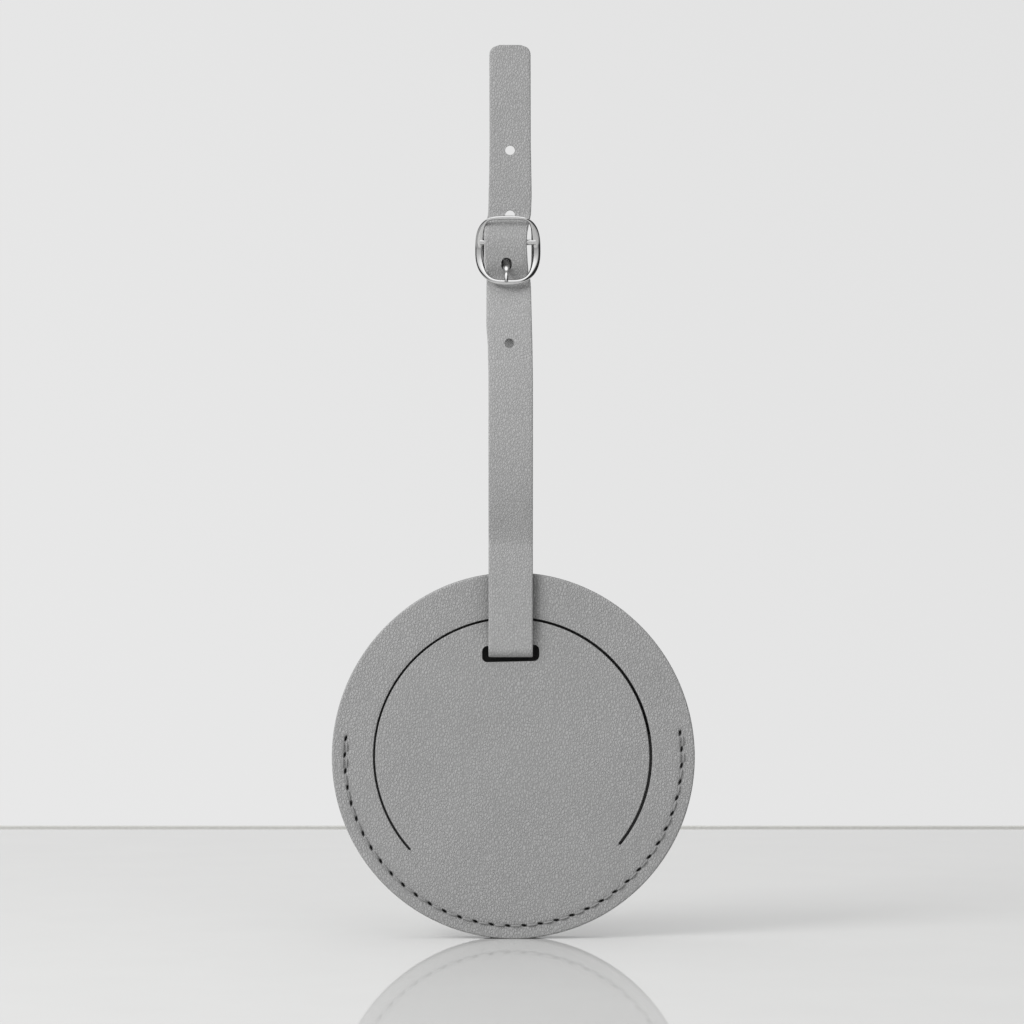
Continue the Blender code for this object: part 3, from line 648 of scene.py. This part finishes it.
def frame_y(height):
    """The frame is domed: its top and bottom bars stand in front of its sides."""
    rise = (math.hypot(height, DOME_SOFT) - DOME_SOFT) / (math.hypot(DOME_HEIGHT, DOME_SOFT) - DOME_SOFT)
    at_bar = ((BAR_Z - FRAME_Z) / DOME_HEIGHT) ** DOME_POWER
    return BAR_Y - FRAME_DOME * (rise ** (DOME_POWER * 0.92) - at_bar)


def reach(outline, turn):
    """How far a rounded outline is from the frame's middle, in one direction."""
    half_width, half_height, squareness = outline[0 if math.sin(turn) > 0 else 1]
    across, up = abs(math.cos(turn) / half_width), abs(math.sin(turn) / half_height)
    return (across**squareness + up**squareness) ** (-1 / squareness)


def buckle_frame():
    """A domed cast frame, broad at its sides and slim at its top bar, with a round centre bar."""
    steps, sides = 256, 28
    rows = []
    for i in range(steps):
        turn = 2 * math.pi * (i + 0.5) / steps
        inside, outside = reach(FRAME_INSIDE, turn), reach(FRAME_OUTSIDE, turn)
        middle, half = (outside + inside) / 2, (outside - inside) / 2
        base_y = frame_y(middle * math.sin(turn))
        row = []
        for j in range(sides):
            t = 2 * math.pi * j / sides
            away = middle + half * math.cos(t)
            row.append((BUCKLE_X + away * math.cos(turn), base_y + FRAME_DEPTH / 2 * math.sin(t),
                        FRAME_Z + away * math.sin(turn)))
        rows.append(row)
    made = make_piece("buckle", *loft(rows))
    ends = [(BUCKLE_X + side * BAR_HALF, BAR_Y, BAR_Z) for side in (-1, 1)]
    return cut(made, round_tube("bar", ends, [BAR_R, BAR_R], 28), "UNION")


def prong():
    """A flattened wire: its eye wraps the bar, its root fills the strap's hole and its tip thins out."""
    eye = arc((BAR_Y, BAR_Z), EYE_R, EYE_FROM, EYE_TO, 30)
    shaft = smooth([eye[-1], (-0.0001, 0.1560), (0.00005, 0.1549), (-0.00015, 0.1538), (-0.0010, 0.1523),
                    (-0.0022, 0.1509), (-0.0033, 0.1497), (-0.0039, 0.1484)], 8)[1:]
    route = [*eye, *shaft]
    wide, radii = [], []
    for i, (y, z) in enumerate(route):
        root = smooth_step(150.2 * MM, 151.9 * MM, z) if i > len(eye) else 1.0
        wide.append(1.05 + 0.62 * root)
        to_end = min(i, len(route) - 1 - i)
        radii.append(PRONG_R * (1 - 0.5 * max(0, 1 - to_end / 3) ** 2) * (0.86 + 0.14 * root))
    return round_tube("prong", [(PRONG_X, y, z) for y, z in route], radii, 20, wide, Vector((1, 0, 0)))


# Materials

def new_material(name):
    material = bpy.data.materials.new(name)
    material.use_nodes = True
    nodes = material.node_tree.nodes
    return material, nodes, material.node_tree.links, nodes["Principled BSDF"]


def add(nodes, kind, **values):
    """A node with its inputs and its settings given by name."""
    node = nodes.new(kind)
    for key, value in values.items():
        if key in node.inputs:
            node.inputs[key].default_value = value
        else:
            setattr(node, key, value)
    return node


def ramp(nodes, *stops):
    """A ramp of positions, each with a grey or a colour."""
    node = nodes.new("ShaderNodeValToRGB")
    elements = node.color_ramp.elements
    while len(elements) < len(stops):
        elements.new(0.5)
    for element, (position, value) in zip(elements, stops):
        element.position = position
        element.color = (*value, 1) if isinstance(value, tuple) else (value, value, value, 1)
    return node


def product(nodes, links, one, other):
    """The product of two values."""
    both = add(nodes, "ShaderNodeMath", operation="MULTIPLY")
    links.new(one, both.inputs[0])
    links.new(other, both.inputs[1])
    return both.outputs[0]


def multiplied(nodes, links, one, other):
    """The product of two colours."""
    both = add(nodes, "ShaderNodeMix", data_type="RGBA", blend_type="MULTIPLY")
    both.inputs["Factor"].default_value = 1.0
    links.new(one, both.inputs[6])
    links.new(other, both.inputs[7])
    return both.outputs[2]


def ranged(nodes, links, value, **ends):
    """A value moved to another range, whose ends are given by name."""
    node = add(nodes, "ShaderNodeMapRange")
    for key, end in ends.items():
        node.inputs[key.replace("_", " ").title()].default_value = end
    links.new(value, node.inputs["Value"])
    return node.outputs["Result"]


def scaled_sum(nodes, links, value, factor, other):
    """A value times a factor, plus another value."""
    node = add(nodes, "ShaderNodeMath", operation="MULTIPLY_ADD")
    links.new(value, node.inputs[0])
    node.inputs[1].default_value = factor
    links.new(other, node.inputs[2])
    return node.outputs[0]


def pebbles(nodes, links, rest, pebble):
    """Uneven cells, taller than wide: how far a point is from a cell's middle, and how clear of creases."""
    place = add(nodes, "ShaderNodeMapping", Scale=(1.0, 1.0, 0.62))
    links.new(rest, place.inputs["Vector"])
    wander = add(nodes, "ShaderNodeTexNoise", Scale=0.45 / pebble, Detail=2.0)
    links.new(place.outputs["Vector"], wander.inputs["Vector"])
    centred = add(nodes, "ShaderNodeVectorMath", operation="SUBTRACT")
    links.new(wander.outputs["Color"], centred.inputs[0])
    centred.inputs[1].default_value = (0.5, 0.5, 0.5)
    scaled = add(nodes, "ShaderNodeVectorMath", operation="SCALE")
    scaled.inputs["Scale"].default_value = pebble * 1.1
    links.new(centred.outputs[0], scaled.inputs[0])
    warped = add(nodes, "ShaderNodeVectorMath", operation="ADD")
    links.new(place.outputs["Vector"], warped.inputs[0])
    links.new(scaled.outputs[0], warped.inputs[1])
    cells = add(nodes, "ShaderNodeTexVoronoi", feature="SMOOTH_F1", Scale=1 / pebble, Smoothness=0.35)
    creases = add(nodes, "ShaderNodeTexVoronoi", feature="DISTANCE_TO_EDGE", Scale=1 / pebble)
    for texture in (cells, creases):
        links.new(warped.outputs[0], texture.inputs["Vector"])
    return cells.outputs["Distance"], ranged(nodes, links, creases.outputs["Distance"], from_max=0.22)


def leather(name, grey, pebble, depth):
    """Embossed faux leather: small pebbles between fine creases, an uneven tone, painted shade in its
    creases, and painted shade in its holes, cut and slot and beside the strap.
    """
    material, nodes, links, shader = new_material(name)
    rest = add(nodes, "ShaderNodeAttribute", attribute_name="rest").outputs["Vector"]
    middle, crease = pebbles(nodes, links, rest, pebble)
    fine = add(nodes, "ShaderNodeTexNoise", Scale=4.5 / pebble, Detail=3.0)
    links.new(rest, fine.inputs["Vector"])
    dome = scaled_sum(nodes, links, middle, -0.75, crease)
    bump = add(nodes, "ShaderNodeBump", Strength=0.9, Distance=depth)
    links.new(scaled_sum(nodes, links, fine.outputs["Fac"], 0.95, dome), bump.inputs["Height"])
    links.new(bump.outputs["Normal"], shader.inputs["Normal"])
    tone = add(nodes, "ShaderNodeTexNoise", Scale=55.0, Detail=3.0)
    links.new(rest, tone.inputs["Vector"])
    patches = ramp(nodes, (0.3, grey * 0.965), (0.7, grey * 1.03))
    links.new(tone.outputs["Fac"], patches.inputs["Fac"])
    # Random speckle in the tone, plus painted shade that darkens the creases between pebbles.
    speckle_and_crease_shade = ramp(nodes, (0.0, 0.74), (0.25, 0.93), (0.75, 1.11))
    links.new(product(nodes, links, crease, fine.outputs["Fac"]), speckle_and_crease_shade.inputs["Fac"])
    # Painted shade: the base colour is darkened where the open attribute is low, in holes, the cut, the slot
    # and beside the strap.
    openness = add(nodes, "ShaderNodeAttribute", attribute_name="open")
    painted_shade = ramp(nodes, (0.0, 0.06), (1.0, 1.0))
    links.new(openness.outputs["Fac"], painted_shade.inputs["Fac"])
    mixed = multiplied(nodes, links, patches.outputs["Color"], speckle_and_crease_shade.outputs["Color"])
    links.new(multiplied(nodes, links, mixed, painted_shade.outputs["Color"]), shader.inputs["Base Color"])
    links.new(ranged(nodes, links, crease, to_min=0.62, to_max=0.50), shader.inputs["Roughness"])
    shader.inputs["Specular IOR Level"].default_value = 0.35
    return material


def grained(name, colour, roughness, metallic=0.0, grain=900.0, depth=0.01 * MM, tone=0.06):
    """A moulded, stamped or painted finish: a fine grain in its height, its tone and its gloss."""
    material, nodes, links, shader = new_material(name)
    place = add(nodes, "ShaderNodeTexCoord")
    noise = add(nodes, "ShaderNodeTexNoise", Scale=grain, Detail=4.0)
    links.new(place.outputs["Object"], noise.inputs["Vector"])
    darker = tuple(c * (1 - tone) for c in colour)
    lighter = tuple(min(1, c * (1 + tone)) for c in colour)
    tones = ramp(nodes, (0.3, darker), (0.7, lighter))
    links.new(noise.outputs["Fac"], tones.inputs["Fac"])
    links.new(tones.outputs["Color"], shader.inputs["Base Color"])
    smoothest, roughest = roughness * 0.85, min(1, roughness * 1.15)
    gloss = ranged(nodes, links, noise.outputs["Fac"], to_min=smoothest, to_max=roughest)
    links.new(gloss, shader.inputs["Roughness"])
    bump = add(nodes, "ShaderNodeBump", Strength=0.5, Distance=depth)
    links.new(noise.outputs["Fac"], bump.inputs["Height"])
    links.new(bump.outputs["Normal"], shader.inputs["Normal"])
    shader.inputs["Metallic"].default_value = metallic
    return material


PANEL_GREY = 0.365
MATERIALS = {
    "panel": leather("panel_leather", PANEL_GREY, 0.50 * MM, 0.08 * MM),
    "strap": leather("strap_leather", PANEL_GREY * 1.05, 0.46 * MM, 0.055 * MM),
    # Near-black inner side: the leather's lining, painted darker as the shade inside the pocket.
    "lining": grained("inner_board_and_shade", (0.07, 0.07, 0.07), 0.95, grain=3000.0, depth=0.05 * MM, tone=0.3),
    "thread": grained("seam_thread", (0.25, 0.25, 0.25), 0.8, grain=5000.0, depth=0.05 * MM, tone=0.15),
    "chrome": grained("polished_chrome", (0.64, 0.64, 0.64), 0.10, 1.0, 400.0, 0.001 * MM, 0.02),
    "shell": grained("tracker_shell", (0.72, 0.72, 0.72), 0.42, grain=4000.0),
    "steel": grained("stamped_steel", (0.56, 0.56, 0.55), 0.28, 1.0),
    "rubber": grained("seal_rubber", (0.03, 0.03, 0.03), 0.75),
    "board": grained("solder_mask", (0.02, 0.10, 0.045), 0.4, grain=600.0),
    "ceramic": grained("fired_ceramic", (0.74, 0.67, 0.55), 0.5),
    "brass": grained("spring_brass", (0.68, 0.49, 0.22), 0.3, 1.0),
    "lens": grained("light_pipe_plastic", (0.82, 0.84, 0.85), 0.15),
}


def dress_frame():
    """Gives each CAD node the finish of its slot. The leather's slot has the panels' finish."""
    slots = {part["node"]: part["material_slot"] for part in frame["record"]["subparts"]}
    for name, node in frame["nodes"].items():
        slot = slots[name]
        node.data.materials.clear()
        node.data.materials.append(MATERIALS["panel" if slot == "leather" else slot])


# Setting

CAMERA_X, CAMERA_Y, CAMERA_Z = -0.0003, FRONT_Y - 0.8, 0.0964
VIEW_WIDTH, SENSOR_WIDTH = 0.2312, 36


def camera():
    """A long lens, level and straight at the front of the holder and its strap."""
    data = bpy.data.cameras.new("camera")
    data.sensor_width = SENSOR_WIDTH
    data.lens = SENSOR_WIDTH * (FRONT_Y - CAMERA_Y) / VIEW_WIDTH
    data.clip_start, data.clip_end = 0.05, 20
    view = bpy.data.objects.new("camera", data)
    view.location = (CAMERA_X, CAMERA_Y, CAMERA_Z)
    view.rotation_euler = (math.pi / 2, 0, 0)
    bpy.context.scene.collection.objects.link(view)
    bpy.context.scene.camera = view


def area_light(name, place, aim, size, energy):
    """A soft lamp that lights the scene and shows in no reflection."""
    data = bpy.data.lights.new(name, "AREA")
    data.shape = "RECTANGLE"
    data.size, data.size_y = size
    data.energy = energy
    lamp = bpy.data.objects.new(name, data)
    lamp.location = place
    lamp.rotation_euler = (Vector(aim) - Vector(place)).to_track_quat("-Z", "Y").to_euler()
    lamp.visible_glossy = False
    bpy.context.scene.collection.objects.link(lamp)


DARK = (0.03, 0.03, 0.03, 1)


def window(nodes, links, split, side, low, high):
    """A panel of the studio: 1 past a side and between two heights. Each bound has a start and an end."""
    across, up = split.outputs["X"], split.outputs["Z"]
    tall = product(nodes, links, ranged(nodes, links, up, from_min=low[0], from_max=low[1]),
                   ranged(nodes, links, up, from_min=high[1], from_max=high[0]))
    past = ranged(nodes, links, across, from_min=side[0], from_max=side[1])
    return product(nodes, links, past, tall)


def blended(nodes, links, amount, one, other):
    """One look where the amount is 0 and the other, an output or a colour, where it is 1."""
    mix = add(nodes, "ShaderNodeMix", data_type="RGBA")
    links.new(amount, mix.inputs["Factor"])
    links.new(one, mix.inputs[6])
    if isinstance(other, tuple):
        mix.inputs[7].default_value = other
    else:
        links.new(other, mix.inputs[7])
    return mix.outputs[2]


def world():
    """A pale studio: brighter overhead, a paper wall behind with painted shade making it darker towards its
    upper right, and a dark panel to each side.
    """
    made = bpy.data.worlds.new("studio")
    bpy.context.scene.world = made
    made.use_nodes = True
    nodes, links = made.node_tree.nodes, made.node_tree.links
    shader = nodes["Background"]
    place = add(nodes, "ShaderNodeTexCoord").outputs["Generated"]
    split = add(nodes, "ShaderNodeSeparateXYZ")
    links.new(place, split.inputs[0])
    rise = ramp(nodes, (0.0, 0.45), (0.49, 0.50), (0.52, 0.62), (0.75, 0.95), (1.0, 1.60))
    links.new(ranged(nodes, links, split.outputs["Z"], from_min=-1.0), rise.inputs["Fac"])
    # Painted shade: the paper wall is darker towards its upper right.
    wall_shade_tilt = add(nodes, "ShaderNodeVectorMath", operation="DOT_PRODUCT")
    links.new(place, wall_shade_tilt.inputs[0])
    wall_shade_tilt.inputs[1].default_value = (-0.10, 0, -0.075)
    paper = add(nodes, "ShaderNodeMath", operation="ADD")
    links.new(wall_shade_tilt.outputs["Value"], paper.inputs[0])
    paper.inputs[1].default_value = 0.787
    wall = paper.outputs[0]
    towards_wall = ranged(nodes, links, split.outputs["Y"], from_min=0.15, from_max=0.55)
    room = blended(nodes, links, towards_wall, rise.outputs["Color"], wall)
    dark_right = window(nodes, links, split, (0.50, 0.74), (-0.35, -0.20), (0.72, 0.80))
    dark_left = window(nodes, links, split, (-0.80, -0.92), (-0.10, 0.00), (0.45, 0.60))
    for panel in (dark_right, dark_left):
        room = blended(nodes, links, panel, room, DARK)
    seen = add(nodes, "ShaderNodeLightPath")
    links.new(blended(nodes, links, seen.outputs["Is Camera Ray"], room, wall), shader.inputs["Color"])
    shader.inputs["Strength"].default_value = 1.0


TABLE_NEAR, TABLE_FAR, TABLE_SIDE, TABLE_THICK, TABLE_BEND = -1.2, 0.2744, 0.26, 0.03, 0.0015
RAIL_Y, RAIL_LOW, RAIL_HIGH, RAIL_THICK = TABLE_FAR + 60 * MM, -7.6 * MM, -4.6 * MM, 4 * MM


def table():
    """A pale polished table top with a round far edge, and a low rail behind it."""
    section = [(TABLE_NEAR, -TABLE_THICK), (TABLE_NEAR, 0.0), (TABLE_FAR - 3 * TABLE_BEND, 0.0)]
    section += arc((TABLE_FAR - TABLE_BEND, -TABLE_BEND), TABLE_BEND, math.pi / 2, 0, 5)
    section.append((TABLE_FAR, -TABLE_THICK))
    rows = [[(x, y, z) for y, z in section] for x in (-TABLE_SIDE, TABLE_SIDE)]
    points, faces = loft(rows, close_around=False)
    width = len(section)
    faces += [tuple(range(width)), tuple(2 * width - 1 - i for i in range(width))]
    top = make_piece("table_top", points, faces)
    gloss = grained("table_gloss", (0.553, 0.553, 0.548), 0.03, grain=40.0, depth=0.0, tone=0.01)
    gloss.node_tree.nodes["Principled BSDF"].inputs["IOR"].default_value = 1.13
    dress(top, [gloss])
    rail_face = [(-TABLE_SIDE, RAIL_LOW), (TABLE_SIDE, RAIL_LOW),
                 (TABLE_SIDE, RAIL_HIGH), (-TABLE_SIDE, RAIL_HIGH)]
    rail = prism("back_rail", rail_face, RAIL_Y, RAIL_Y + RAIL_THICK)
    rail.data.materials.append(grained("rail_paint", (0.55, 0.55, 0.525), 0.6))


def setting():
    bpy.context.scene.view_settings.view_transform = "Standard"
    camera()
    world()
    table()
    area_light("key", (-0.75, -0.55, 0.62), (0, 0, 0.06), (0.5, 0.5), 8)


# Assembly

LEATHER_LOOKS = [MATERIALS["panel"], MATERIALS["lining"]]
INNER_SIDE_AND_SHADE = 1
# Depth below the face at which the painted shade is darkest
DARK_DEPTH = 0.55 * MM


def line_and_shade_inside(piece, inward):
    """Gives a leather's inner side, whose faces look along Y the given way, a near-black look: its lining,
    darkened as painted shade so the slots show black.
    """
    for face in piece.data.polygons:
        if face.normal.y * inward > 0.7:
            face.material_index = INNER_SIDE_AND_SHADE


def painted_shade_beside_strap(co):
    """1 away from the strap, and lower beside it above the slot: painted shade where the strap shades the
    leather, stronger on its right.
    """
    away = max(0.0, abs(co.x - STRAP_X) - STRAP_W / 2)
    # How wide and how dark the painted shade is on each side of the strap
    fade, depth = (2.0 * MM, 0.34) if co.x > STRAP_X else (2.6 * MM, 0.24)
    return 1 - depth * math.exp(-(away / fade) ** 2) * smooth_step(65.0 * MM, 72.0 * MM, co.z)


def lit(co):
    """1 on the outer face of a leather, down to 0 in the bottom of its pricks, its cut and its slot."""
    depth = co.y - FRONT_Y if co.y < 0 else BACK_Y - co.y
    return max(0.0, 1 - max(0.0, depth) / DARK_DEPTH)


def lit_inside_rim(co):
    """The same, with the rim's round edge left as light as the face."""
    return 1.0 if math.hypot(co.x, co.z - DISC_Z) > PRICKS_END_R else lit(co)


def holder():
    ring = front_ring()
    keep_rest(ring)
    darken(ring, lambda co: painted_shade_beside_strap(co) * lit_inside_rim(co))
    finish_piece(ring, "tag_body", LEATHER_LOOKS, ["front_panel"])
    line_and_shade_inside(ring, 1)

    flap = flap_leather()
    keep_rest(flap)
    darken(flap, lambda co: painted_shade_beside_strap(co) * lit(co))
    dress(flap, LEATHER_LOOKS)
    line_and_shade_inside(flap, 1)
    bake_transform(flap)
    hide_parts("flap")

    back = back_leather()
    keep_rest(back)
    darken(back, lit_inside_rim)
    finish_piece(back, "tag_body", LEATHER_LOOKS, ["back_panel"])
    line_and_shade_inside(back, -1)


def threaded_strap():
    strap = strap_leather()
    keep_rest(strap)
    darken(strap, lambda co: 1.0)
    dress(strap, [MATERIALS["strap"]])
    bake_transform(strap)
    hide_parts("strap_slot_run", "strap_bend_front", "strap_bend_back", "strap_front_leg",
                "strap_back_leg")


def stitching():
    group, sockets = stitch_row_group()
    for name, node, y, out in (("front_stitches", "seam_thread_front", FRONT_Y, -1),
                               ("back_stitches", "seam_thread_back", BACK_Y, 1)):
        row = seam_stitches(name, group, sockets, y, out)
        finish_piece(row, "tag_body", [MATERIALS["thread"]], [node])
    for name, node, side in (("left_tab_stitches", "tab_stitch_left", -1),
                             ("right_tab_stitches", "tab_stitch_right", 1)):
        row = tab_stitch(name, STRAP_X + side * TAB_SEAM_X)
        finish_piece(row, "strap_loop", [MATERIALS["thread"]], [node])


setting()
dress_frame()
holder()
threaded_strap()
stitching()
finish_piece(buckle_frame(), "buckle", [MATERIALS["chrome"]], ["buckle_frame"], 50)
finish_piece(prong(), "prong", [MATERIALS["chrome"]], ["buckle_prong"], 50)
